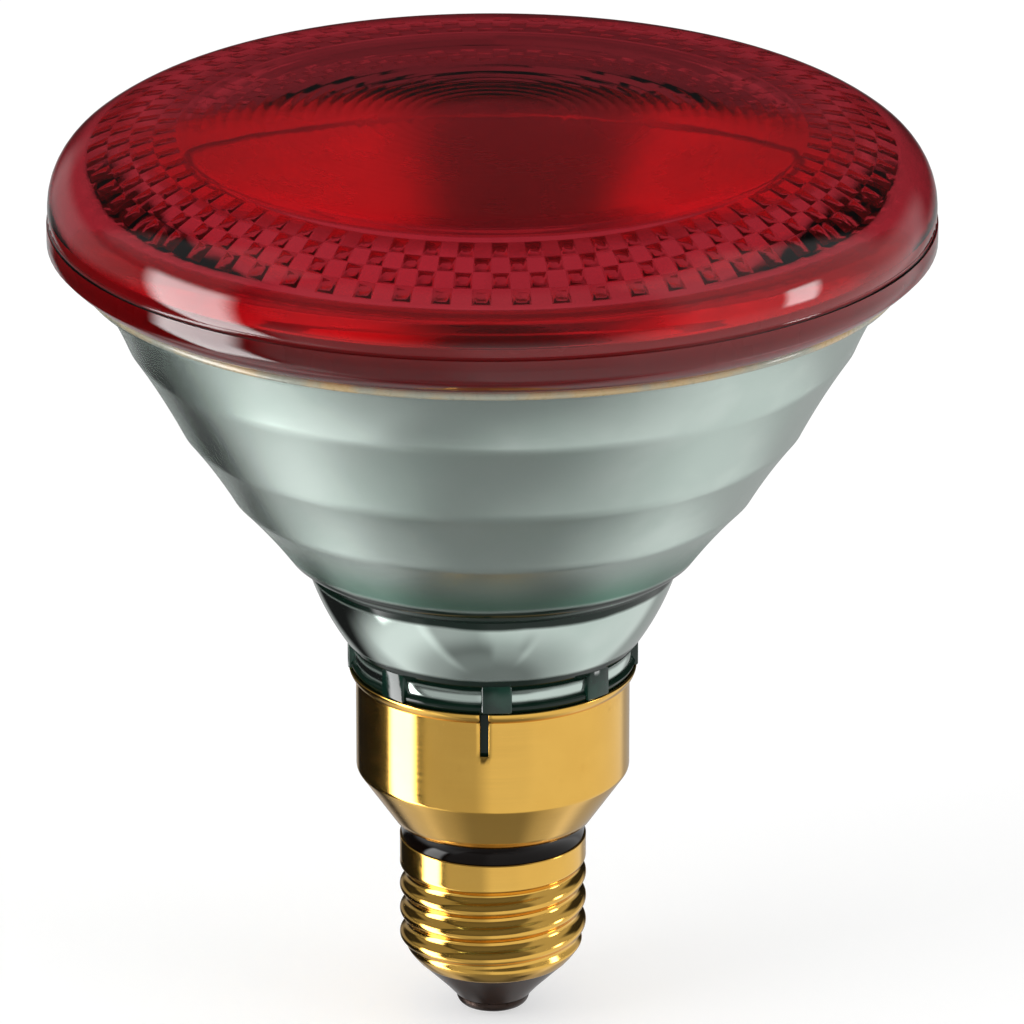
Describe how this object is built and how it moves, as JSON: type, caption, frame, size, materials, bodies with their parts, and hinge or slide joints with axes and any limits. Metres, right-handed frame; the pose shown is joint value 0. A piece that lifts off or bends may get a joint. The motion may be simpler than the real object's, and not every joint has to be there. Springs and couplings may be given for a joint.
{
  "type": "infrared heat lamp bulb",
  "caption": "Sealed infrared heat lamp with a red pressed-glass lens, a mirrored glass reflector and a skirted brass screw cap, for keeping food or animals warm.",
  "frame": {"origin": "the tip of the end contact, on the lamp's axis", "axes": "+Z along the lamp's axis from the screw cap to the lens, -Y towards the slot in the skirt, which is the pictured front"},
  "size_m": [0.1212, 0.1212, 0.1328],
  "materials": {
    "ruby_glass": "pressed ruby glass, glossy outside, rings and studs inside",
    "seal_glass": "fused tan seal",
    "silvered_glass": "pressed glass with a mirror coat behind it, slightly green",
    "brass_sheet": "bright drawn sheet",
    "black_ring": "gloss black",
    "black_glass": "gloss black",
    "contact_metal": "tinned, darkened",
    "solder": "soft solder",
    "ferrule_metal": "bright",
    "braze_metal": "hard solder",
    "nickel_wire": "bright drawn wire",
    "tungsten": "dark grey coiled wire",
    "clear_glass": "clear tube",
    "copper_wire": "bare copper"
  },
  "bodies": {
    "root": {"front_lens": "ruby_glass", "rim_seal": "seal_glass", "reflector": "silvered_glass", "skirt": "brass_sheet", "throat_ring": "black_ring", "screw_shell": "brass_sheet", "insulator": "black_glass", "end_contact": "contact_metal", "centre_solder": "solder", "ferrule_left": "ferrule_metal", "ferrule_right": "ferrule_metal", "braze_left": "braze_metal", "braze_right": "braze_metal", "lead_rod_left": "nickel_wire", "lead_rod_right": "nickel_wire", "filament": "tungsten", "support_wire": "nickel_wire", "exhaust_stub": "clear_glass", "contact_feed_wire": "copper_wire", "shell_feed_wire": "copper_wire", "side_solder": "solder"}
  },
  "joints": []
}
